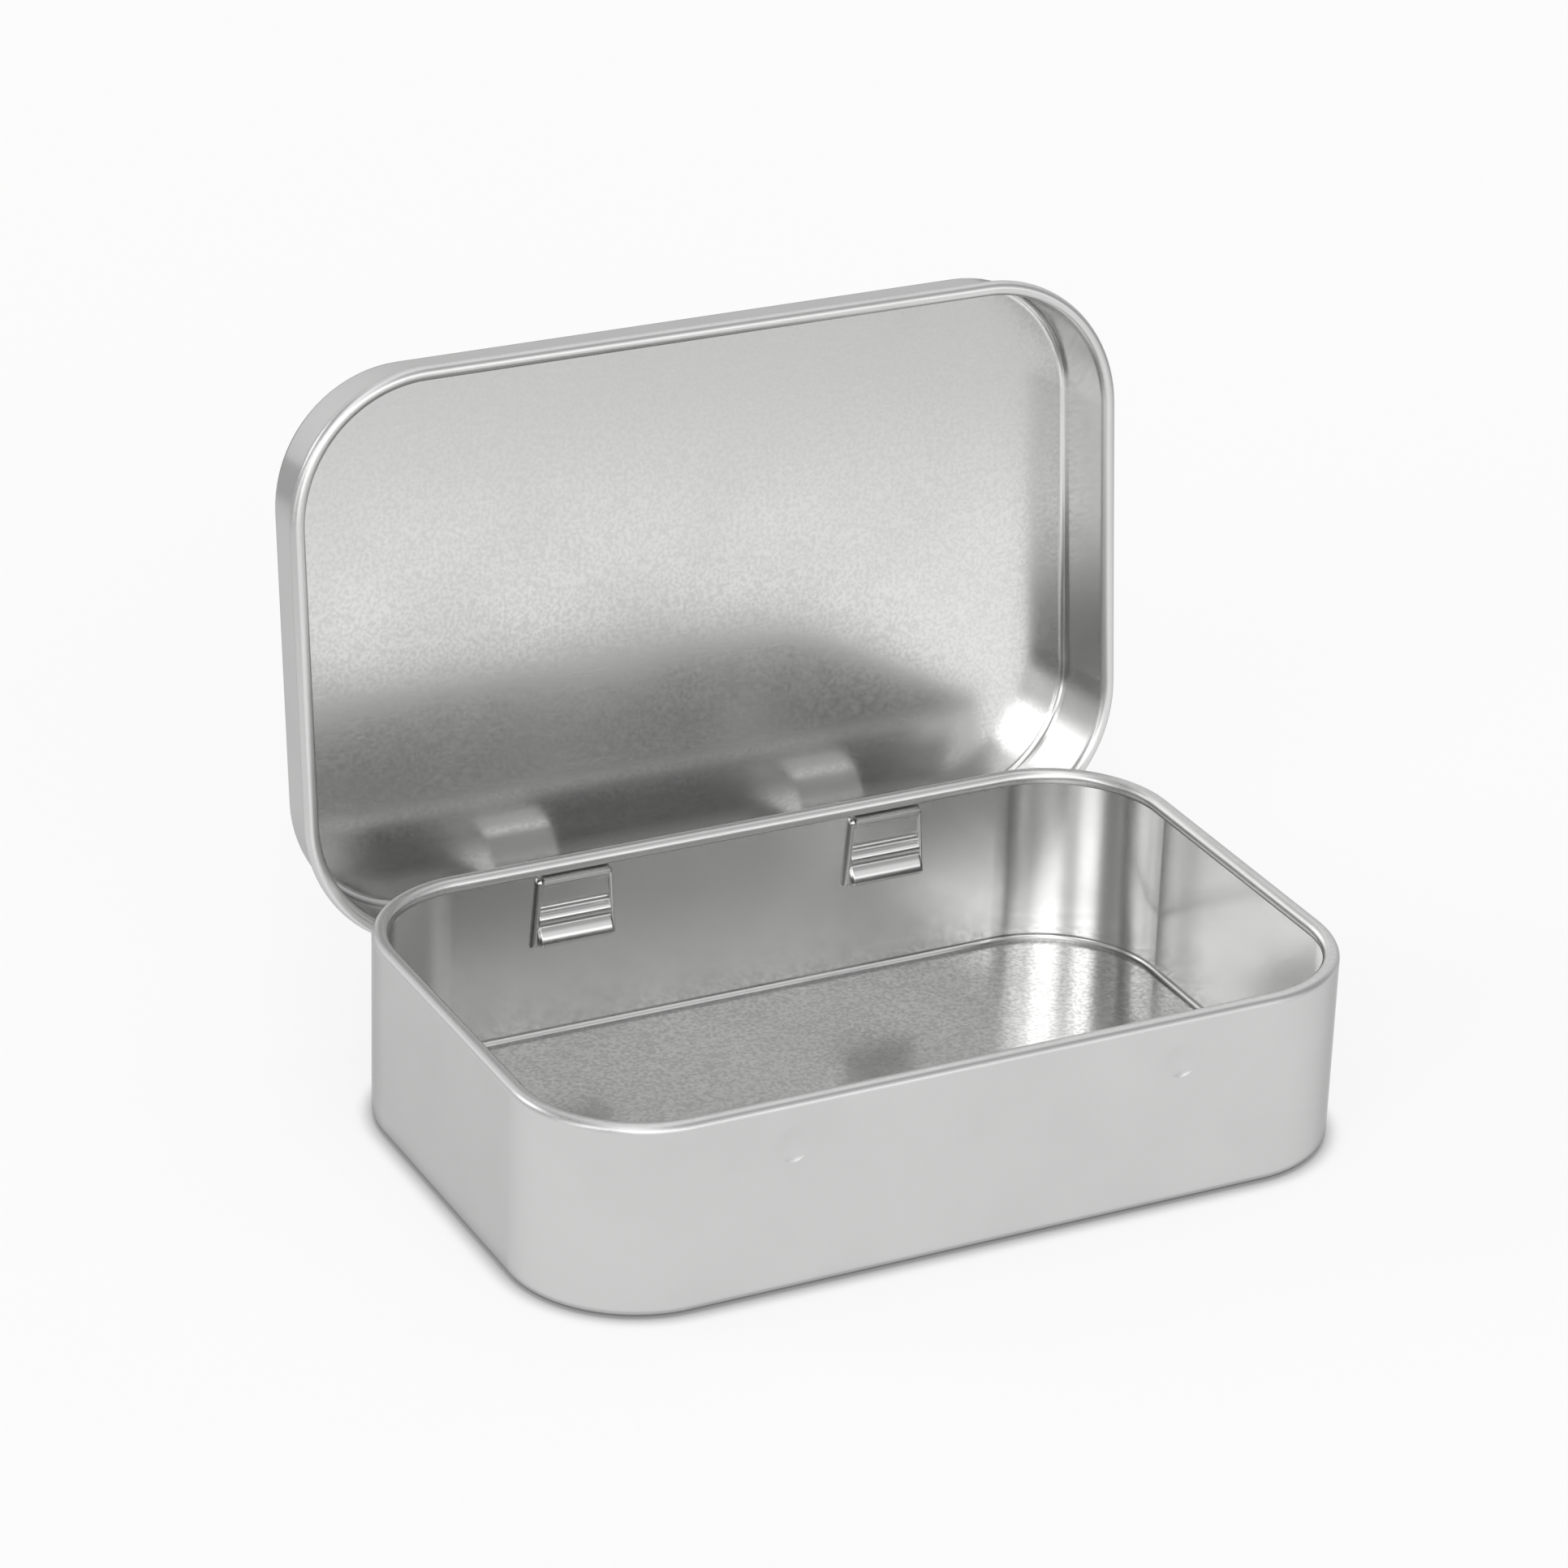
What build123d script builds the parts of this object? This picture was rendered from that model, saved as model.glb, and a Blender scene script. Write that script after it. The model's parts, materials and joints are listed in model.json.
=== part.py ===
"""Hinged pocket tin of drawn sheet: a tub with an inward rolled rim and a lid with an outward rolled rim.

Millimetres, +Z up. The origin is the middle of the tub's underside, +X runs along the hinge and
+Y points to the hinge side. The lid is drawn open, as it stands in the picture.
"""
import os
from math import acos, atan2, cos, degrees, hypot, radians, sin, sqrt, tan

from build123d import *

os.makedirs("parts", exist_ok=True)

# Sheet and tub
sheet = 0.25
tub_width = 95.0
tub_depth = 60.5
tub_height = 22.0
tub_corner = 14.0
foot_radius = 0.95
tub_curl_radius = 0.9
tub_curl_angle = 315.0

# Lid
lid_height = 9.3
lid_flare = 0.1
lid_panel_radius = 1.0
lid_curl_radius = 0.8
lid_curl_angle = 292.5
lid_corner_gap = 0.45
lid_side_gap = 0.3
lid_front_gap = 0.5
lid_roof_gap = 0.2

# Hinge line and swing
hinge_out = 1.2
hinge_drop = 7.82
open_angle = 96.0

# Hinge pockets pressed into the tub's back wall
hinge_spacing = 38.2
pocket_reach = 0.65
pocket_top_drop = 2.5
pocket_height = 8.2
pocket_top_width = 9.0
pocket_foot_width = 10.2
pocket_corner = 0.6
pocket_rounding = 0.5
frame_top = 1.05
frame_side = 0.6
frame_depth = 0.5
slot_width = 8.4
slot_height = 0.8

# Louvre inside each pocket: bends in turn down its face, and how far the face leans at their ends
plate_recess = 0.15
plate_height = 1.85
plate_bend = 0.3
groove_bend = 0.28
thin_rib_bend = 0.2
main_rib_bend = 1.1
foot_groove_bend = 0.24
steep_lean = 60.0
thin_rib_lean = 30.0
main_rib_lean = 10.0
foot_roll_bend = 2.9
foot_roll_lean = 45.0
foot_roll_brow_lean = 8.0
foot_roll_under = 0.35
foot_roll_under_lean = 75.0
foot_roll_chamfer = 0.3

# Hinge tongues on the lid
tongue_width = 7.9
tongue_lip_gap = 0.12
tongue_past_lip = 5.4
hook_reach = 0.45
hook_turn = 2.5
notch_side_gap = 0.35

# Closure dents in the tub's front wall
dent_spacing = 45.0
dent_drop = 5.0
dent_width = 4.0
dent_depth = 0.35

# How far each narrow flat turns where it stands for a bend of the sheet
flat_angle = 22.5
hidden_flat_angle = 63.0

# Working margins
overrun = 1.0
bite = 0.02

# Places worked out from the sizes above
half = 0.5
back_face = half * tub_depth
back_inside = back_face - sheet
tub_curl_height = tub_height - tub_curl_radius
hinge_y = back_face + hinge_out
hinge_z = tub_height - hinge_drop
hinge_places = (-half * hinge_spacing, half * hinge_spacing)
pocket_face = back_inside - pocket_reach
pocket_top = tub_height - pocket_top_drop
pocket_foot = pocket_top - pocket_height
window_floor = pocket_face + frame_depth
lid_width = tub_width + 2 * lid_side_gap
lid_depth = tub_depth + 2 * lid_front_gap
lid_corner = tub_corner + lid_corner_gap
lid_shut_height = tub_height + lid_roof_gap + sheet - lid_height
lip_y = pocket_face - hinge_y
lip_z = pocket_top - hinge_z
tongue_inner = hypot(lip_y, lip_z) + tongue_lip_gap
tongue_outer = tongue_inner + sheet


def swing_open(y, z):
    """Where a point of the shut lid stands once the lid is open."""
    turn = radians(open_angle)
    dy = y - hinge_y
    dz = z - hinge_z
    return hinge_y + dy * cos(turn) + dz * sin(turn), hinge_z - dy * sin(turn) + dz * cos(turn)


# The lid's own frame: its rim stands on this plane and its panel lies off along the normal
lid_rim = Plane(
    origin=(0, *swing_open(0, lid_shut_height)),
    x_dir=(1, 0, 0),
    z_dir=(0, sin(radians(open_angle)), cos(radians(open_angle))),
)


def across(y):
    """Upright plane across the tin, X to the right and Z up, facing the front."""
    return Plane.XZ.offset(-y)


def bend(centre, radius, first, turn, flat=flat_angle):
    """Points along a bend of the sheet, drawn as narrow flats to keep the mesh light."""
    flats = round(abs(turn) / flat)
    points = []
    for step in range(flats + 1):
        angle = radians(first + turn * step / flats)
        points.append((centre[0] + radius * cos(angle), centre[1] + radius * sin(angle)))
    return points


def drawn_wall(plane, width, depth, corner, skin, lining):
    """Wall of a drawn piece: the sheet's section, outward and up, carried round a rounded rectangle."""
    x = half * width
    y = half * depth
    with BuildLine(plane) as rim:
        FilletPolyline((-x, -y), (x, -y), (x, y), (-x, y), radius=corner, close=True)
    path = rim.wire()
    square = Plane(origin=path @ 0, x_dir=plane.z_dir, z_dir=path % 0)
    with BuildSketch(square) as section:
        with BuildLine():
            Polyline(*((up, out) for out, up in skin + lining[::-1]), close=True)
        make_face()
    sweep(section.sketch, path=path)


def rounded_plate(plane, width, depth, corner):
    """Flat rounded rectangle of sheet."""
    with BuildSketch(plane) as outline:
        RectangleRounded(width, depth, corner)
    extrude(outline.sketch, amount=sheet)


def drawn_tub():
    """Floor, foot bend, wall and inward curl of the tub."""
    foot = (-foot_radius, foot_radius)
    curl = (-tub_curl_radius, tub_curl_height)
    skin = bend(foot, foot_radius, -90.0, 90.0)
    skin += bend(curl, tub_curl_radius, 0.0, tub_curl_angle)
    lining = bend(foot, foot_radius - sheet, -90.0, 90.0)
    lining += bend(curl, tub_curl_radius - sheet, 0.0, tub_curl_angle, hidden_flat_angle)
    drawn_wall(Plane.XY, tub_width, tub_depth, tub_corner, skin, lining)
    rounded_plate(Plane.XY, tub_width - 2 * foot_radius, tub_depth - 2 * foot_radius, tub_corner - foot_radius)


def drawn_lid():
    """Panel, panel bend, flared wall and outward curl of the lid."""
    draw_in = lid_flare + lid_panel_radius - sheet
    panel = (-draw_in, lid_height - lid_panel_radius)
    curl = (lid_curl_radius, lid_curl_radius)
    skin = bend(panel, lid_panel_radius, 90.0, -90.0)
    skin += bend(curl, lid_curl_radius - sheet, 180.0, lid_curl_angle, hidden_flat_angle)
    lining = bend(panel, lid_panel_radius - sheet, 90.0, -90.0)
    lining += bend(curl, lid_curl_radius, 180.0, lid_curl_angle)
    drawn_wall(lid_rim, lid_width, lid_depth, lid_corner, skin, lining)
    rounded_plate(lid_rim.offset(lid_height - sheet), lid_width - 2 * draw_in, lid_depth - 2 * draw_in,
                  lid_corner - draw_in)


def trapezoid(plane, x, top, foot, top_width, foot_width, depth, mode=Mode.ADD):
    """Upright block that widens towards its foot, reaching from the plane to the hinge side."""
    with BuildSketch(plane) as outline:
        with BuildLine():
            Polyline(
                (x - half * foot_width, foot),
                (x + half * foot_width, foot),
                (x + half * top_width, top),
                (x - half * top_width, top),
                close=True,
            )
        make_face()
    extrude(outline.sketch, amount=-depth, mode=mode)


def leaning_bends(start, bends):
    """Chain of bends down a face, each given by its radius and the lean it ends at, in under the face."""
    face = start
    lean = degrees(atan2((face % 1).X, -(face % 1).Y))
    for radius, next_lean in bends:
        face = JernArc(start=face @ 1, tangent=face % 1, radius=radius, arc_size=next_lean - lean)
        lean = next_lean
    return face


def louvre(x, width):
    """Plate, thin rib and main rib of a pocket in one block, and the point where the foot roll begins."""
    back = window_floor + sheet
    top = (pocket_face + plate_recess, pocket_top - half * frame_top)
    with BuildSketch(Plane.YZ.offset(x - half * width)) as profile:
        with BuildLine():
            plate = Line(top, (top[0], pocket_top - frame_top - plate_height))
            groove = leaning_bends(plate, (
                (plate_bend, steep_lean),
                (groove_bend, -thin_rib_lean),
                (thin_rib_bend, thin_rib_lean),
                (groove_bend, -steep_lean),
                (main_rib_bend, main_rib_lean),
                (foot_groove_bend, steep_lean),
                (foot_groove_bend, -foot_roll_lean),
            ))
            end = groove @ 1
            Polyline(end, (back, end.Y), (back, top[1]), top)
        make_face()
    extrude(profile.sketch, amount=width)
    return end.X, end.Y


def foot_roll(x, width, start):
    """Full round roll at the foot of a pocket, with its ends eased."""
    back = window_floor + sheet
    with BuildPart(mode=Mode.PRIVATE) as rolled:
        with BuildSketch(Plane.YZ.offset(x - half * width)) as profile:
            with BuildLine():
                lean = radians(foot_roll_lean)
                crest = JernArc(start=start, tangent=(-sin(lean), -cos(lean)), radius=foot_roll_bend,
                                arc_size=foot_roll_lean - foot_roll_brow_lean)
                under = leaning_bends(crest, ((foot_roll_under, foot_roll_under_lean),))
                drop = (back - (under @ 1).X) / tan(radians(foot_roll_under_lean))
                Polyline(under @ 1, (back, (under @ 1).Y - drop), (back, start[1]), start)
            make_face()
        extrude(profile.sketch, amount=width)
        ends = rolled.faces().filter_by(Axis.X).edges()
        chamfer([e for e in ends if (e @ half).Y < start[0] and e.geom_type == GeomType.CIRCLE], foot_roll_chamfer)
    add(rolled.part)


def hinge_pocket(tub, x):
    """Louvre under the slot: a framed pocket that reaches into the tub, rippled inside."""
    trapezoid(across(pocket_face), x, pocket_top, pocket_foot, pocket_top_width, pocket_foot_width,
              pocket_reach + bite)
    corners = [e for e in tub.edges().filter_by(Axis.Y)
               if abs(e.center().X - x) < pocket_foot_width and pocket_face < e.center().Y < back_inside
               and abs(e.center().Z - pocket_top) < overrun]
    fillet(corners, pocket_corner)
    face = [f for f in tub.faces().filter_by(Plane.XZ)
            if abs(f.center().Y - pocket_face) < bite and abs(f.center().X - x) < overrun]
    fillet(face[0].edges(), pocket_rounding)
    slope = half * (pocket_foot_width - pocket_top_width) / pocket_height
    window_top = pocket_top - frame_top
    top_width = pocket_top_width - 2 * frame_side + 2 * slope * frame_top
    foot_width = pocket_foot_width - 2 * frame_side
    trapezoid(across(pocket_face - overrun), x, window_top, pocket_foot, top_width, foot_width,
              overrun + frame_depth, Mode.SUBTRACT)
    with BuildPart(mode=Mode.PRIVATE) as filling:
        start = louvre(x, foot_width + 2 * bite)
        trapezoid(across(pocket_face - overrun), x, pocket_top - half * frame_top, pocket_foot,
                  top_width + 2 * bite, foot_width + 2 * bite, 2 * overrun + pocket_reach, Mode.INTERSECT)
    add(filling.part)
    foot_roll(x, foot_width, start)
    trapezoid(across(back_face), x, pocket_top + slot_height, pocket_foot - overrun,
              pocket_foot_width + 2 * overrun, pocket_foot_width + 2 * overrun, overrun, Mode.SUBTRACT)
    trapezoid(across(window_floor + sheet), x, pocket_top, pocket_foot,
              slot_width, slot_width + 2 * slope * pocket_height, back_face - window_floor, Mode.SUBTRACT)
    trapezoid(across(back_inside - overrun), x, pocket_top + slot_height, pocket_top,
              slot_width, slot_width, 2 * overrun, Mode.SUBTRACT)


def closure_dent(x):
    """Small round dent pushed in from the front, with its bump inside."""
    z = tub_height - dent_drop
    radius = (half * dent_width * half * dent_width + dent_depth * dent_depth) / (2 * dent_depth)
    centre = -back_face - radius + dent_depth
    reach = radius + sheet
    cap = sqrt(reach * reach - (-back_inside - centre) * (-back_inside - centre))
    with BuildSketch(Plane.YZ.offset(x)) as lens:
        with BuildLine():
            RadiusArc((-back_inside, z + cap), (centre + reach, z), reach)
            Polyline((centre + reach, z), (-back_inside - bite, z), (-back_inside - bite, z + cap),
                     (-back_inside, z + cap))
        make_face()
    revolve(lens.sketch, axis=Axis((x, 0, z), (0, 1, 0)))
    with Locations((x, centre, z)):
        Sphere(radius, mode=Mode.SUBTRACT)


def lid_wall_inside(height):
    """Half depth inside the lid's wall at a height above its rim."""
    share = (height - lid_curl_radius) / (lid_height - lid_panel_radius - lid_curl_radius)
    return half * lid_depth - lid_flare * share


def hinge_notch(x):
    """Gap cut in the lid's wall and curl, as high as the tongue's underside when shut."""
    wall = lid_wall_inside(hinge_z + tongue_inner - lid_shut_height) - hinge_y
    top = hinge_z + sqrt(tongue_inner * tongue_inner - wall * wall) - lid_shut_height
    near = half * lid_depth - lid_flare - sheet
    far = half * lid_depth + 2 * lid_curl_radius + overrun
    with BuildSketch(lid_rim.offset(-overrun)) as gap:
        with Locations((x, half * (near + far))):
            Rectangle(tongue_width + 2 * notch_side_gap, far - near)
    extrude(gap.sketch, amount=overrun + top, mode=Mode.SUBTRACT)


def hinge_tongue(x):
    """Curved tongue about the hinge line, from the lid's wall through the slot to its hook."""
    end = degrees(atan2(lip_z, lip_y)) + tongue_past_lip
    wall = lid_wall_inside(hinge_z + tongue_inner - lid_shut_height) + half * sheet - hinge_y
    root = degrees(acos(wall / tongue_outer)) - open_angle
    with BuildSketch(Plane.YZ.offset(x - half * tongue_width)) as profile:
        for near, start in ((tongue_inner, root), (tongue_inner - hook_reach, end - hook_turn)):
            with BuildLine():
                low = CenterArc((hinge_y, hinge_z), near, start, end - start)
                high = CenterArc((hinge_y, hinge_z), tongue_outer, start, end - start)
                Line(low @ 0, high @ 0)
                Line(low @ 1, high @ 1)
            make_face()
    extrude(profile.sketch, amount=tongue_width)


# Tub
with BuildPart() as tin_base:
    drawn_tub()
    for place in hinge_places:
        hinge_pocket(tin_base, place)
    for place in (-half * dent_spacing, half * dent_spacing):
        closure_dent(place)
tin_base.part.label = "tin_base"
export_step(tin_base.part, "parts/tin_base.step")

# Lid
with BuildPart() as tin_lid:
    drawn_lid()
    for place in hinge_places:
        hinge_notch(place)
        hinge_tongue(place)
tin_lid.part.label = "tin_lid"
export_step(tin_lid.part, "parts/tin_lid.step")
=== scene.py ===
"""Looks of a hinged pocket tin of drawn tinplate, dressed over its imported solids."""

import json
import logging
from dataclasses import dataclass, replace
from enum import Enum
from functools import reduce
from math import cos, radians, sin
from operator import add

import bmesh
import bpy
from mathutils import Matrix, Vector

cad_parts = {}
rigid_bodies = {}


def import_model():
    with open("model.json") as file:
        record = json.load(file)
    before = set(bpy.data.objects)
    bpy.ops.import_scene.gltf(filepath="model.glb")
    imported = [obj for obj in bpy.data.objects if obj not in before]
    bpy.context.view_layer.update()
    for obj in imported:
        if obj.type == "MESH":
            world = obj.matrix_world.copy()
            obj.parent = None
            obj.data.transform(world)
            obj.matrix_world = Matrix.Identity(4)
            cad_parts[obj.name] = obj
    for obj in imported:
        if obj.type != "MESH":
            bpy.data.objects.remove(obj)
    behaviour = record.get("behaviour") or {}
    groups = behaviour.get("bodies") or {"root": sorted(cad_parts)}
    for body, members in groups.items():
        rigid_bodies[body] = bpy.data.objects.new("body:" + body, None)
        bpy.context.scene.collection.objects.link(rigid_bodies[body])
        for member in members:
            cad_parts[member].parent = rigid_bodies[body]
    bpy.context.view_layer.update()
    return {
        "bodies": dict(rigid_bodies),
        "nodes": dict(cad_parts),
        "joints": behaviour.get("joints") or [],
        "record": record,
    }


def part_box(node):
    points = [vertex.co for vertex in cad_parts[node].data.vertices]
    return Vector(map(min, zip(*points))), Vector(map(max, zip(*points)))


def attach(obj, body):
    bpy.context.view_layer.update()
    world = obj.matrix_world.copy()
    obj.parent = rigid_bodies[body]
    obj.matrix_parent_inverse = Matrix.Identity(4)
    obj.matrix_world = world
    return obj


LOG = logging.getLogger("pocket_tin")
MM = 0.001
Point = tuple[float, float, float]
Limits = tuple[float, float]
BLACK: Point = (0, 0, 0)
WHITE: Point = (1, 1, 1)
UPRIGHT = Vector((0, 0, 1))
NOISE_MEAN = 0.5
QUARTER_TURN = 90


def direction(azimuth: float, elevation: float) -> Vector:
    """Direction at an azimuth, clockwise from +Y, and an elevation, both in degrees."""
    turn, rise = radians(azimuth), radians(elevation)
    return Vector((sin(turn) * cos(rise), cos(turn) * cos(rise), sin(rise)))


class Value:
    """A shader socket that takes part in sums as a number does."""

    def __init__(self, shading: "Shading", socket: bpy.types.NodeSocket) -> None:
        """Keep the socket and the nodes that it belongs to.

        Args:
            shading: the nodes that new sums are added to.
            socket: the output that this value stands for.
        """
        self.shading = shading
        self.socket = socket

    def _sum(self, operation: str, left: "Term", right: "Term") -> "Value":
        """Add one Math node.

        Args:
            operation: the Math node's operation.
            left: its first number or value.
            right: its second number or value.

        Returns:
            The result as a value.
        """
        return self.shading.out("ShaderNodeMath", {"operation": operation}, {0: left, 1: right})

    def __add__(self, other: "Term") -> "Value":
        """This plus other."""
        return self._sum("ADD", self, other)

    def __radd__(self, other: "Term") -> "Value":
        """Other plus this."""
        return self._sum("ADD", other, self)

    def __sub__(self, other: "Term") -> "Value":
        """This less other."""
        return self._sum("SUBTRACT", self, other)

    def __rsub__(self, other: "Term") -> "Value":
        """Other less this."""
        return self._sum("SUBTRACT", other, self)

    def __mul__(self, other: "Term") -> "Value":
        """This times other."""
        return self._sum("MULTIPLY", self, other)

    def __rmul__(self, other: "Term") -> "Value":
        """Other times this."""
        return self._sum("MULTIPLY", other, self)


Term = Value | float
Triple = Value | Point


class Ray(Enum):
    """Kinds of ray that the floor and the air tell apart."""

    CAMERA = "Is Camera Ray"
    GLOSSY = "Is Glossy Ray"
    TRANSMISSION = "Is Transmission Ray"


class Shading:
    """The nodes of one material or of the world."""

    def __init__(self, tree: bpy.types.NodeTree) -> None:
        """Start from an empty tree.

        Args:
            tree: the tree that is filled.
        """
        self.tree = tree
        tree.nodes.clear()

    def node(self, kind: str, settings: dict | None = None, sockets: dict | None = None) -> bpy.types.Node:
        """Add one node.

        Args:
            kind: the node's type.
            settings: its own settings, set before its sockets.
            sockets: numbers, colours or values for its inputs, by name or place.

        Returns:
            The new node.
        """
        made = self.tree.nodes.new(kind)
        for name, setting in (settings or {}).items():
            setattr(made, name, setting)
        for name, given in (sockets or {}).items():
            if isinstance(given, Value):
                self.tree.links.new(given.socket, made.inputs[name])
            else:
                made.inputs[name].default_value = given
        return made

    def out(self, kind: str, settings: dict | None = None, sockets: dict | None = None,
            output: int | str = 0) -> Value:
        """Add one node and take one of its outputs.

        Args:
            kind: the node's type.
            settings: its own settings, set before its sockets.
            sockets: numbers, colours or values for its inputs, by name or place.
            output: name or place of the output wanted.

        Returns:
            That output as a value.
        """
        return Value(self, self.node(kind, settings, sockets).outputs[output])

    def vector(self, operation: str, *terms: Triple, output: int | str = 0) -> Value:
        """Add one Vector Math node.

        Args:
            operation: the node's operation.
            terms: the vectors that it works on.
            output: name or place of the output wanted.

        Returns:
            That output as a value.
        """
        return self.out("ShaderNodeVectorMath", {"operation": operation}, dict(enumerate(terms)), output)

    def likeness(self, first: Value, second: Triple) -> Value:
        """How far two directions agree: 1 for the same, 0 for square, -1 for opposite."""
        return self.vector("DOT_PRODUCT", first, second, output="Value")

    def blend(self, share: Term, first: Triple, second: Triple) -> Value:
        """Mix two colours.

        Args:
            share: how much of the second colour, from 0 to 1.
            first: colour where share is 0.
            second: colour where share is 1.

        Returns:
            The mixed colour.
        """
        first, second = (end if isinstance(end, Value) else (*end, 1) for end in (first, second))
        return self.out("ShaderNodeMix", {"data_type": "RGBA"}, {0: share, 6: first, 7: second}, 2)

    def span(self, given: Term, low: float, high: float) -> Value:
        """Bring a value between two levels to 0 to 1, eased at both ends.

        Args:
            given: the value.
            low: level that gives 0.
            high: level that gives 1.

        Returns:
            The share, held within 0 to 1.
        """
        return self.out("ShaderNodeMapRange", {"interpolation_type": "SMOOTHSTEP"},
                        {"Value": given, "From Min": low, "From Max": high})

    def rays(self, *kinds: Ray) -> Value:
        """Tell rays of some kinds from all others.

        Args:
            kinds: the kinds wanted.

        Returns:
            1 for such a ray, 0 for others.
        """
        path = self.node("ShaderNodeLightPath")
        return reduce(add, (Value(self, path.outputs[kind.value]) for kind in kinds))


class Lie(Enum):
    """How a layer of noise lies on the sheet, as shares of its spread along each axis."""

    EVEN = (1.0, 1.0, 1.0)
    ROLLED = (0.12, 1.0, 1.0)


@dataclass(frozen=True)
class Patches:
    """A layer of soft noise over a sheet."""

    size: float
    detail: float
    lie: Lie = Lie.EVEN

    def spread(self, shading: Shading, place: Value) -> Value:
        """Lay the noise over the sheet.

        Args:
            shading: the material's nodes.
            place: point on the sheet.

        Returns:
            The noise, from 0 to 1.
        """
        where = shading.vector("MULTIPLY", place, tuple(share / self.size for share in self.lie.value))
        return shading.out("ShaderNodeTexNoise", {}, {"Vector": where, "Scale": 1.0, "Detail": self.detail})


@dataclass(frozen=True)
class Tinplate:
    """Satin tinplate with mottle, rolled grain, faint smudges, rubbed edges with a painted highlight,
    painted shade in its creases and a lighter inner side that is painted light.

    A share says how much of its colour or height a mark brings, and a mark's limits are the levels
    between which it comes in. The middle and the flat way belong to the piece: the middle of its hollow,
    which its inner side faces, and the way that its flat part faces.
    """

    name: str
    roughness: float = 0.22
    grazing: float = 0.62
    colour: Point = (0.63, 0.632, 0.628)
    # Painted light: the inner side is lighter than the outer so that its reflections come out brighter.
    inner_lightened_colour: Point = (0.73, 0.731, 0.726)
    inner_limits: Limits = (-0.02, 0.02)
    middle: Point = (0, 0, 11 * MM)
    flat_way: Point = (0, 0, 1)
    flat_limits: Limits = (0.8, 0.97)
    flat_rough: float = 0.03
    mottle: Patches = Patches(0.42 * MM, 3.0)
    relief_height: float = 0.0008 * MM
    wall_relief: float = 0.3
    fleck_colour: Point = (0.46, 0.46, 0.455)
    fleck_share: float = 0.2
    fleck_limits: Limits = (0.35, 0.68)
    fleck_rough: float = 0.05
    grain: Patches = Patches(0.12 * MM, 1.0, Lie.ROLLED)
    grain_share: float = 0.2
    grain_rough: float = 0.05
    pits: Patches = Patches(0.3 * MM, 2.0, Lie.ROLLED)
    pit_colour: Point = (0.98, 0.98, 0.98)
    pit_share: float = 0.2
    pit_limits: Limits = (0.6, 0.75)
    pit_depth: float = 0.8
    smudge: Patches = Patches(14 * MM, 4.0)
    smudge_share: float = 0.05
    smudge_limits: Limits = (0.35, 0.7)
    smudge_rough: float = 0.1
    edge_radius: float = 0.17 * MM
    edge_samples: int = 6
    edge_limits: Limits = (0.02, 0.2)
    # Rubbed edges: wear, with a painted highlight in their lighter colour.
    worn_highlight_colour: Point = (0.8, 0.8, 0.8)
    worn_highlight_share: float = 0.8
    worn_highlight_limits: Limits = (0.25, 0.5)
    worn_rough: float = 0.14
    # The faint smudges, which are dirt, take this dark colour, and so does the painted shade that ambient
    # occlusion lays in creases.
    smudge_and_shade_colour: Point = (0.16, 0.16, 0.155)
    crease_shade_share: float = 0.85
    crease_shade_reach: float = 0.7 * MM
    crease_shade_samples: int = 8
    crease_shade_limits: Limits = (0.18, 0.5)

    def _inner(self, shading: Shading, place: Value, facing: Value) -> Value:
        """Where the sheet faces the middle of its piece."""
        inward = shading.vector("NORMALIZE", shading.vector("SUBTRACT", self.middle, place))
        return shading.span(shading.likeness(facing, inward), *self.inner_limits)

    def _flat(self, shading: Shading, facing: Value) -> Value:
        """Where the sheet lies flat, on either of its sides.

        Args:
            shading: the material's nodes.
            facing: direction that the surface faces.

        Returns:
            1 on the flat, 0 on walls and steep bends.
        """
        square = shading.likeness(facing, self.flat_way)
        low, high = self.flat_limits
        return shading.span(square, low, high) + shading.span(square, -low, -high)

    def _worn_highlight(self, shading: Shading, eased: Value, smudge: Value) -> Value:
        """Where a sharp edge is rubbed bright: wear together with a painted highlight.

        Args:
            shading: the material's nodes.
            eased: the facing as it would be with its edges eased.
            smudge: the noise that breaks the wear up.

        Returns:
            1 where the edge is rubbed and painted bright, 0 elsewhere.
        """
        sharp = shading.out("ShaderNodeNewGeometry", output="Normal")
        edge = shading.span(1 - shading.likeness(eased, sharp), *self.edge_limits)
        return edge * shading.span(smudge, *self.worn_highlight_limits)

    def _crease_shade(self, shading: Shading) -> Value:
        """Where painted shade darkens a crease.

        Args:
            shading: the material's nodes.

        Returns:
            1 in the crease, 0 in the open.
        """
        settings = {"samples": self.crease_shade_samples, "only_local": True}
        openness = shading.out("ShaderNodeAmbientOcclusion", settings, {"Distance": self.crease_shade_reach}, "AO")
        return 1 - shading.span(openness, *self.crease_shade_limits)

    def make(self) -> bpy.types.Material:
        """Build the material.

        Returns:
            The material, ready for a node's slot.
        """
        material = bpy.data.materials.new(self.name)
        material.use_nodes = True
        shading = Shading(material.node_tree)
        place = shading.out("ShaderNodeTexCoord", output="Object")
        facing = shading.out("ShaderNodeTexCoord", output="Normal")
        mottle, grain, smudge, pits = (layer.spread(shading, place)
                                       for layer in (self.mottle, self.grain, self.smudge, self.pits))
        flat = self._flat(shading, facing)
        fleck = shading.span(mottle, *self.fleck_limits) * flat
        pits = shading.span(pits, *self.pit_limits) * flat
        eased = shading.out("ShaderNodeBevel", {"samples": self.edge_samples}, {"Radius": self.edge_radius})
        # Rubbed edges: partly wear, partly a painted highlight.
        worn_highlight = self._worn_highlight(shading, eased, smudge)

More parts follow.
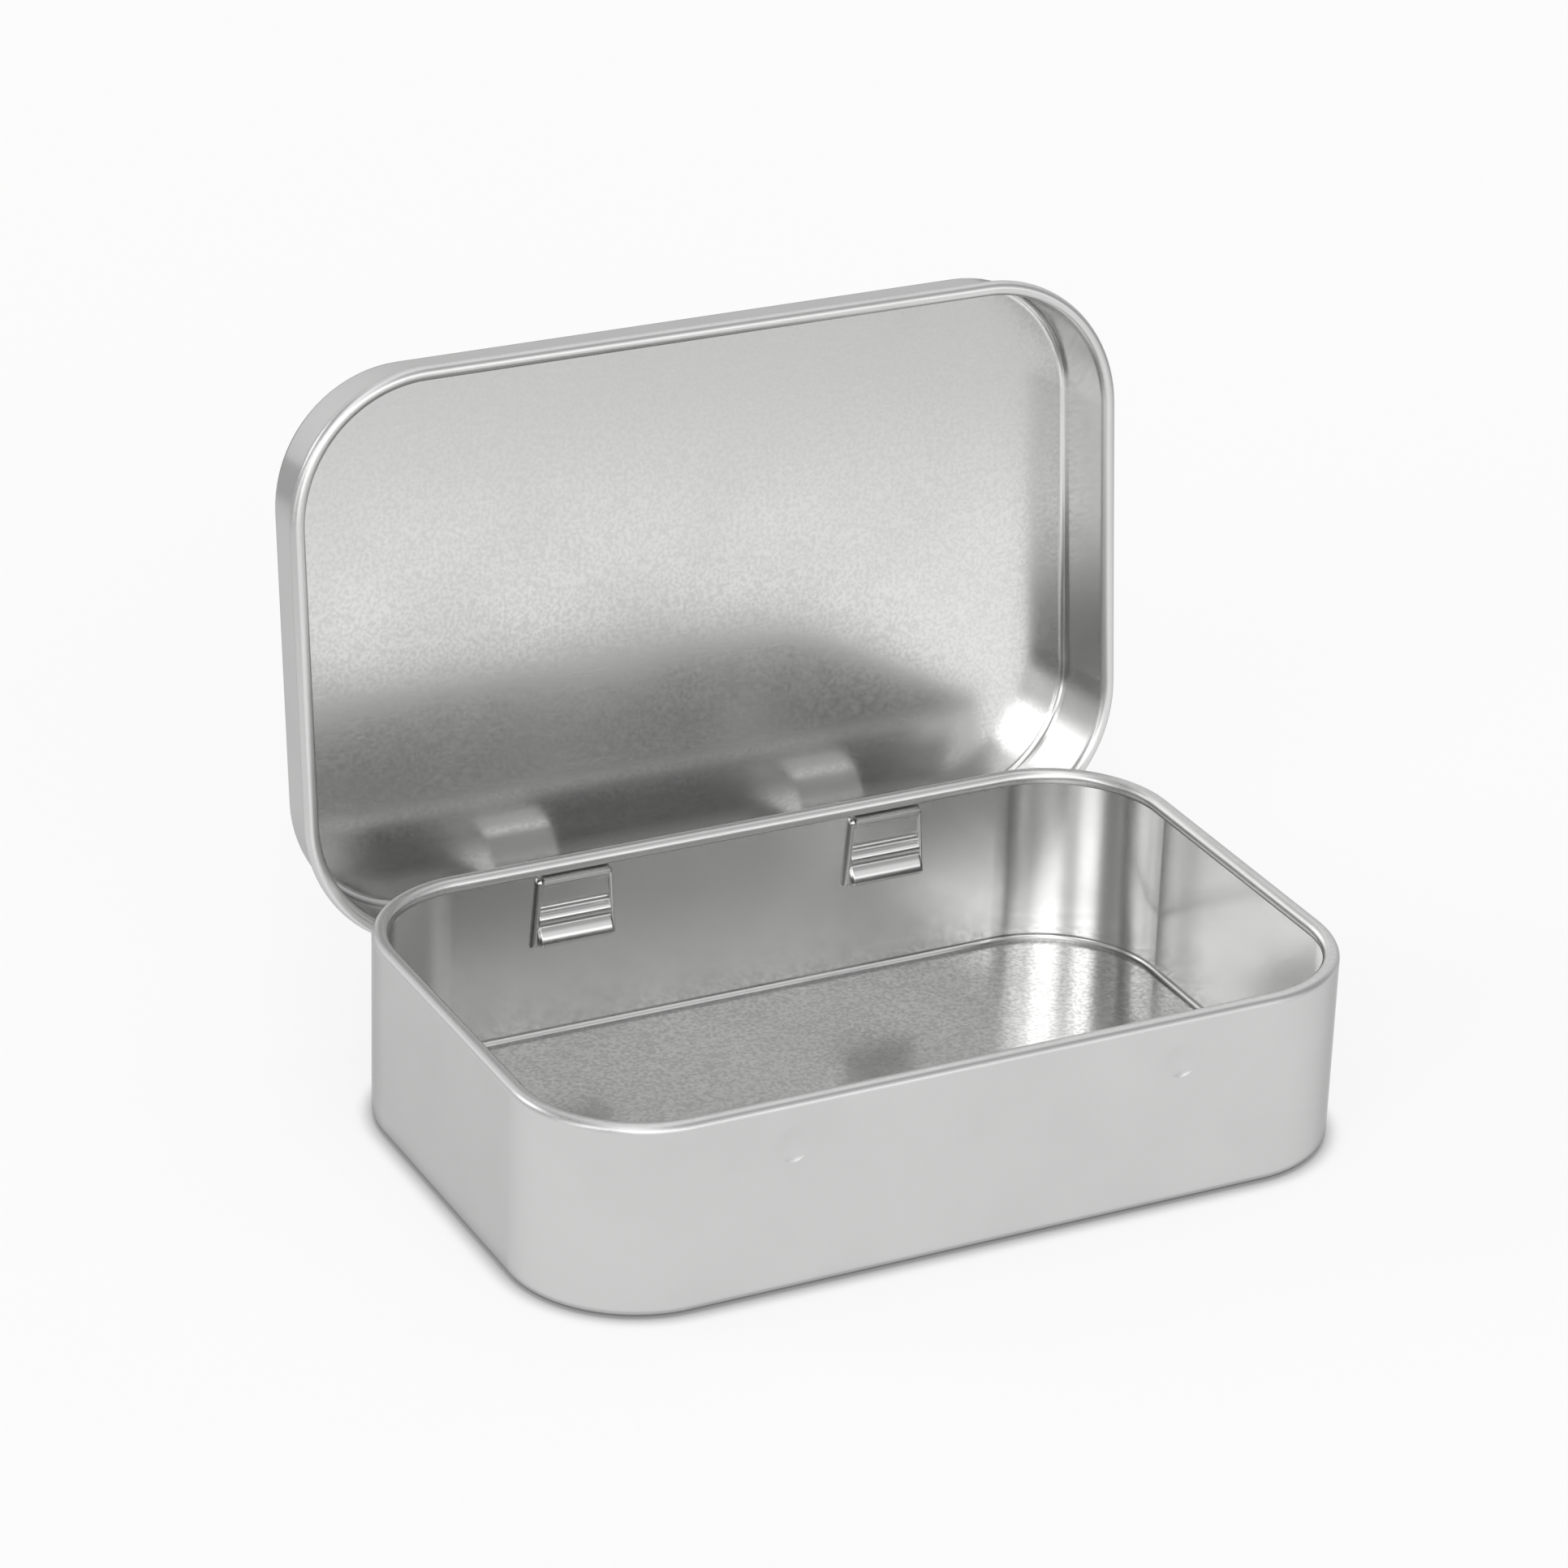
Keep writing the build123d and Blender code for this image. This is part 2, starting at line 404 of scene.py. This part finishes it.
        weave = mottle * (1 - self.grain_share) + grain * self.grain_share
        height = weave * (self.wall_relief + flat * (1 - self.wall_relief)) - pits * self.pit_depth
        relief = shading.out("ShaderNodeBump", {}, {"Strength": 1.0, "Distance": self.relief_height,
                                                    "Height": height, "Normal": eased})

        rough = self.roughness + flat * self.flat_rough + fleck * self.fleck_rough + worn_highlight * self.worn_rough
        for noise, change in ((grain, self.grain_rough), (smudge, self.smudge_rough)):
            rough = rough + (noise - NOISE_MEAN) * change

        # Painted light: the inner side takes the lighter colour, which brightens its reflections.
        shade = shading.blend(self._inner(shading, place, facing), self.colour, self.inner_lightened_colour)
        smudged = shading.span(smudge, *self.smudge_limits)
        # Smudges are dirt; rubbed edges get a painted highlight and creases a painted shade.
        for share, colour in ((smudged * self.smudge_share, self.smudge_and_shade_colour),
                              (fleck * self.fleck_share, self.fleck_colour),
                              (pits * self.pit_share, self.pit_colour),
                              (worn_highlight * self.worn_highlight_share, self.worn_highlight_colour),
                              (self._crease_shade(shading) * self.crease_shade_share, self.smudge_and_shade_colour)):
            shade = shading.blend(share, shade, colour)

        grazing = (self.grazing, self.grazing, self.grazing, 1)
        surface = shading.out("ShaderNodeBsdfPrincipled", {}, {"Base Color": shade, "Metallic": 1.0,
                                                               "Specular Tint": grazing,
                                                               "Roughness": rough, "Normal": relief})
        shading.node("ShaderNodeOutputMaterial", {}, {"Surface": surface})
        return material


@dataclass(frozen=True)
class RolledBead:
    """Smooth skin of a rolled rim, carried round a rounded rectangle.

    The curl's centre is a distance out from the rectangle's edge and a height over its plane. The curl
    starts at its first angle, in degrees from straight out, and goes on for its turn.
    """

    name: str
    half_width: float
    half_depth: float
    corner: float
    centre: tuple[float, float]
    radius: float
    first: float
    turn: float
    notches: tuple[Limits, ...] = ()
    proud: float = 0.003 * MM
    section_steps: int = 40
    corner_steps: int = 24

    def _section(self) -> list[tuple[float, float]]:
        """Points along the curl's cross-section.

        Returns:
            Pairs of distance out from the rectangle's edge and height over its plane.
        """
        radius = self.radius + self.proud
        section = []
        for step in range(self.section_steps + 1):
            angle = radians(self.first + self.turn * step / self.section_steps)
            across = self.centre[0] - self.proud + radius * cos(angle)
            above = self.centre[1] + radius * sin(angle)
            section.append((across, above))
        return section

    def _stations(self) -> list[tuple[Vector, Vector]]:
        """Places round the rectangle's edge, each with the direction straight out.

        Returns:
            Pairs of place and outward direction, once round: the ends of the notches from right to
            left, then the corners from the left one of the hinge side on.
        """
        ends = sorted((x for notch in self.notches for x in notch), reverse=True)
        stations = [(Vector((x, self.half_depth)), Vector((0, 1))) for x in ends]
        flat_x, flat_y = self.half_width - self.corner, self.half_depth - self.corner
        middles = ((-flat_x, flat_y), (-flat_x, -flat_y), (flat_x, -flat_y), (flat_x, flat_y))
        for quarter, middle in enumerate(middles, start=1):
            for step in range(self.corner_steps + 1):
                angle = radians(QUARTER_TURN * (quarter + step / self.corner_steps))
                out = Vector((cos(angle), sin(angle)))
                stations.append((Vector(middle) + out * self.corner, out))
        return stations

    def _cut(self, place: Vector) -> bool:
        """Whether a place lies in a notch, where the bead is cut away."""
        return place.y > 0 and any(low < place.x < high for low, high in self.notches)

    def roll(self, plane: Matrix, node: str, body: str, slot: str,
             finish: bpy.types.Material) -> bpy.types.Object:
        """Make the bead.

        Args:
            plane: where the rectangle's plane stands.
            node: the sheet that it covers, whose box it keeps to.
            body: body that the bead moves with.
            slot: not used.
            finish: its material.

        Returns:
            The bead.
        """
        mesh = bmesh.new()
        low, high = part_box(node)
        stations = self._stations()
        rings = []
        for place, out in stations:
            ring = []
            for across, above in self._section():
                point = plane @ Vector((*(place + out * across), above))
                held = [min(max(part, least), most) for part, least, most in zip(point, low, high)]
                ring.append(mesh.verts.new(held))
            rings.append(ring)
        for index, (here, (place, _)) in enumerate(zip(rings, stations)):
            following = (index + 1) % len(stations)
            there = rings[following]
            if self._cut((place + stations[following][0]) / 2):
                continue
            for step in range(self.section_steps):
                mesh.faces.new((here[step], there[step], there[step + 1], here[step + 1])).smooth = True
        bmesh.ops.recalc_face_normals(mesh, faces=mesh.faces)
        data = bpy.data.meshes.new(self.name)
        mesh.to_mesh(data)
        mesh.free()
        bead = bpy.data.objects.new(self.name, data)
        bpy.context.scene.collection.objects.link(bead)
        data.materials.append(finish)
        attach(bead, body)
        LOG.info("%s rides %s", bead.name, body)
        return bead


@dataclass(frozen=True)
class Tub:
    """The drawn tub with its inward rolled rim, hinge pockets and closure dents."""

    node: str = "tin_base"
    body: str = "tub"
    slot: str = "tub_sheet"
    corner: float = 14 * MM
    bead_radius: float = 0.9 * MM
    bead_first: float = 0.0
    bead_turn: float = 315.0
    finish: Tinplate = Tinplate("tub_tinplate", roughness=0.17, fleck_share=0.6, pit_share=0.3)
    bead_finish: Tinplate = Tinplate("tub_bead_tinplate", roughness=0.34)

    def dress(self, frame: dict) -> None:
        """Give the tub its tinplate and its smooth bead.

        Args:
            frame: the loaded frame.
        """
        clothe(frame["nodes"][self.node], self.finish)
        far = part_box(self.node)[1]
        bead = RolledBead("tub_bead", half_width=far[0], half_depth=far[1],
                          corner=self.corner, centre=(-self.bead_radius, far[2] - self.bead_radius),
                          radius=self.bead_radius, first=self.bead_first, turn=self.bead_turn)
        bead.roll(Matrix.Identity(4), self.node, self.body, self.slot, self.bead_finish.make())


@dataclass(frozen=True)
class Lid:
    """The drawn lid with its outward rolled rim and curved hinge tongues."""

    node: str = "tin_lid"
    body: str = "lid"
    slot: str = "lid_sheet"
    joint: str = "lid_hinge"
    half_width: float = 47.8 * MM
    half_depth: float = 30.75 * MM
    corner: float = 14.45 * MM
    shut_height: float = 13.15 * MM
    bead_radius: float = 0.8 * MM
    bead_first: float = 180.0
    bead_turn: float = 292.5
    notch_spacing: float = 38.2 * MM
    notch_width: float = 8.6 * MM
    # The lid's inner side is painted lighter still, so that its reflections come out brighter.
    finish: Tinplate = Tinplate("lid_tinplate", roughness=0.16, inner_lightened_colour=(0.82, 0.821, 0.816),
                                middle=(0, 38.5 * MM, 46 * MM), fleck_share=0.22, pit_share=0.12)
    bead_finish: Tinplate = Tinplate("lid_bead_tinplate", roughness=0.34)

    def rim_plane(self, frame: dict) -> Matrix:
        """Plane of the lid's rim as the lid stands open.

        Args:
            frame: the loaded frame.

        Returns:
            The plane, swung open from where it lies when shut.
        """
        joint = next(joint for joint in frame["joints"] if joint["name"] == self.joint)
        hinge = Matrix.Translation(Vector(joint["pos_m"]))
        opened = Matrix.Rotation(-radians(joint["range_deg"][1]), 4, "X")
        return hinge @ opened @ hinge.inverted() @ Matrix.Translation((0, 0, self.shut_height))

    def dress(self, frame: dict) -> None:
        """Give the lid its tinplate and its smooth bead.

        Args:
            frame: the loaded frame.
        """
        plane = self.rim_plane(frame)
        clothe(frame["nodes"][self.node], replace(self.finish, flat_way=tuple(plane.to_3x3() @ UPRIGHT)))
        middles = (-self.notch_spacing / 2, self.notch_spacing / 2)
        notches = tuple((middle - self.notch_width / 2, middle + self.notch_width / 2) for middle in middles)
        bead = RolledBead("lid_bead", half_width=self.half_width, half_depth=self.half_depth,
                          corner=self.corner, centre=(self.bead_radius, self.bead_radius),
                          radius=self.bead_radius, first=self.bead_first, turn=self.bead_turn,
                          notches=notches)
        bead.roll(plane, self.node, self.body, self.slot, self.bead_finish.make())


def clothe(piece: bpy.types.Object, finish: Tinplate) -> None:
    """Put a finish on a piece's slots.

    Args:
        piece: the piece that is dressed.
        finish: its tinplate.
    """
    made = finish.make()
    for held in piece.material_slots:
        held.material = made
    LOG.info("%s dressed in %s", piece.name, made.name)


@dataclass(frozen=True)
class Viewpoint:
    """Where the tin is seen from: angles in degrees, lens and sensor in millimetres."""

    azimuth: float = 27.554
    drop: float = 25.326
    roll: float = 1.935
    distance: float = 538.058 * MM
    target: Point = (-30.099 * MM, -39.918 * MM, 62.640 * MM)
    lens: float = 130.29
    sensor: float = 36.0
    nearest: float = 1 * MM

    def place(self) -> bpy.types.Object:
        """Make the scene's camera.

        Returns:
            The camera.
        """
        look = direction(self.azimuth, -self.drop)
        right = direction(self.azimuth + QUARTER_TURN, 0)
        up = right.cross(look)
        tip = radians(self.roll)
        across = right * cos(tip) + up * sin(tip)
        above = up * cos(tip) - right * sin(tip)
        data = bpy.data.cameras.new("viewpoint")
        data.lens = self.lens
        data.sensor_width = self.sensor
        data.clip_start = self.nearest
        camera = bpy.data.objects.new("viewpoint", data)
        bpy.context.scene.collection.objects.link(camera)
        turned = Matrix((across, above, -look)).transposed().to_4x4()
        camera.matrix_world = Matrix.Translation(Vector(self.target) - look * self.distance) @ turned
        bpy.context.scene.camera = camera
        return camera


@dataclass(frozen=True)
class Glow:
    """A soft round patch of brighter air, full up to its core and gone at its reach, in degrees."""

    azimuth: float
    elevation: float
    core: float
    reach: float
    strength: float

    def lobe(self, shading: Shading, heading: Value) -> Value:
        """How far a direction lies within the glow.

        Args:
            shading: the world's nodes.
            heading: the direction.

        Returns:
            1 at its core, 0 past its reach.
        """
        nearness = shading.likeness(heading, tuple(direction(self.azimuth, self.elevation)))
        return shading.span(nearness, cos(radians(self.reach)), cos(radians(self.core)))


@dataclass(frozen=True)
class Studio:
    """Pale floor and plain air with soft glows in it."""

    floor_size: float = 6.0
    floor_drop: float = 0.02 * MM
    floor_colour: Point = (0.97, 0.97, 0.968)
    floor_share: float = 0.75
    floor_white: float = 1.0
    # Painted contact shadow: the floor's white darkens under the tin's foot.
    contact_shadow_colour: Point = (0.25, 0.25, 0.25)
    contact_shadow_reach: float = 3.5 * MM
    contact_shadow_samples: int = 16
    contact_shadow_limits: Limits = (0.35, 0.85)
    # Painted shade in reflections: far from the tin, glossy rays see the floor darker.
    far_limits: Limits = (190 * MM, 330 * MM)
    far_reflection_shade: float = 0.5
    surround: float = 0.44
    glows: tuple[Glow, ...] = (
        # Low in the sky, from the left round to the front.
        Glow(308, 25, 0, 16, 3.4),
        Glow(284, 25, 0, 16, 0.4),
        Glow(242, 25, 0, 13, 2.6),
        Glow(222, 25, 0, 16, 0.9),
        Glow(204, 25, 0, 16, 2.7),
        Glow(180, 25, 0, 16, 1.3),
        Glow(151, 25, 0, 18, 0.45),
        # Just over the floor, from the left round to the front.
        Glow(255, 3, 0, 20, 1.2),
        Glow(195, 3, 0, 20, 2.0),
        Glow(165, 3, 0, 20, 1.9),
        Glow(135, 3, 0, 20, 0.7),
        # High in front, high behind, and overhead.
        Glow(210, 55, 0, 26, 1.1),
        Glow(60, 55, 0, 34, 0.6),
        Glow(0, 90, 0, 30, 0.7),
    )
    backdrop: Glow = Glow(20, 8, 30, 80, 1.0)

    def fill_air(self) -> None:
        """Light the world with the glows, and show plain white behind the tin."""
        world = bpy.data.worlds.new("studio_air")
        bpy.context.scene.world = world
        world.use_nodes = True
        shading = Shading(world.node_tree)
        heading = shading.out("ShaderNodeTexCoord", output="Generated")
        level = self.surround
        for glow in self.glows:
            level = level + glow.strength * glow.lobe(shading, heading)
        shown = shading.rays(Ray.GLOSSY, Ray.TRANSMISSION) * self.backdrop.lobe(shading, heading)
        shown = shown + shading.rays(Ray.CAMERA)
        level = level * (1 - shown) + shown * self.backdrop.strength
        air = shading.out("ShaderNodeBackground", {}, {"Color": (*WHITE, 1), "Strength": level})
        shading.node("ShaderNodeOutputWorld", {}, {"Surface": air})
        LOG.info("studio lit by %d glows", len(self.glows))

    def _paper(self) -> bpy.types.Material:
        """Pale paper that is white to the eye, keeps the tin's shadow, has a painted contact shadow under
        its foot and is painted darker far off in reflections.

        Returns:
            The floor's material.
        """
        material = bpy.data.materials.new("pale_floor")
        material.use_nodes = True
        shading = Shading(material.node_tree)
        matt = shading.out("ShaderNodeBsdfDiffuse", {}, {"Color": (*self.floor_colour, 1)})
        # Painted contact shadow, found by ambient occlusion, in the white that the eye and reflections see.
        contact = shading.out("ShaderNodeAmbientOcclusion", {"samples": self.contact_shadow_samples},
                              {"Distance": self.contact_shadow_reach}, "AO")
        painted_contact_shadow = shading.blend(shading.span(contact, *self.contact_shadow_limits), self.contact_shadow_colour, WHITE)
        # Painted shade in reflections: glossy rays see the floor darker far from the tin.
        away = shading.vector("LENGTH", shading.out("ShaderNodeTexCoord", output="Object"), output="Value")
        far = shading.rays(Ray.GLOSSY, Ray.TRANSMISSION) * shading.span(away, *self.far_limits)
        colour = shading.blend(far * self.far_reflection_shade, painted_contact_shadow, BLACK)
        white = shading.out("ShaderNodeEmission", {}, {"Color": colour, "Strength": self.floor_white})
        seen = shading.rays(Ray.GLOSSY, Ray.TRANSMISSION, Ray.CAMERA)
        paper = shading.out("ShaderNodeMixShader", {}, {0: seen * self.floor_share, 1: matt, 2: white})
        shading.node("ShaderNodeOutputMaterial", {}, {"Surface": paper})
        return material

    def lay_floor(self) -> bpy.types.Object:
        """Make the floor that the tin stands on.

        Returns:
            The floor, staged.
        """
        reach = self.floor_size / 2
        mesh = bpy.data.meshes.new("studio_floor")
        outline = ((-reach, -reach), (reach, -reach), (reach, reach), (-reach, reach))
        mesh.from_pydata([(x, y, -self.floor_drop) for x, y in outline], [], [(0, 1, 2, 3)])
        floor = bpy.data.objects.new("studio_floor", mesh)
        bpy.context.scene.collection.objects.link(floor)
        mesh.materials.append(self._paper())
        return floor


def main() -> None:
    """Set the camera, dress the tin, then lay the floor and fill the air."""
    logging.basicConfig(level=logging.INFO, format="%(name)s: %(message)s")
    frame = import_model()
    bpy.context.scene.view_settings.view_transform = "Standard"
    Viewpoint().place()
    Tub().dress(frame)
    Lid().dress(frame)
    studio = Studio()
    studio.lay_floor()
    studio.fill_air()


if __name__ == "__main__":
    main()
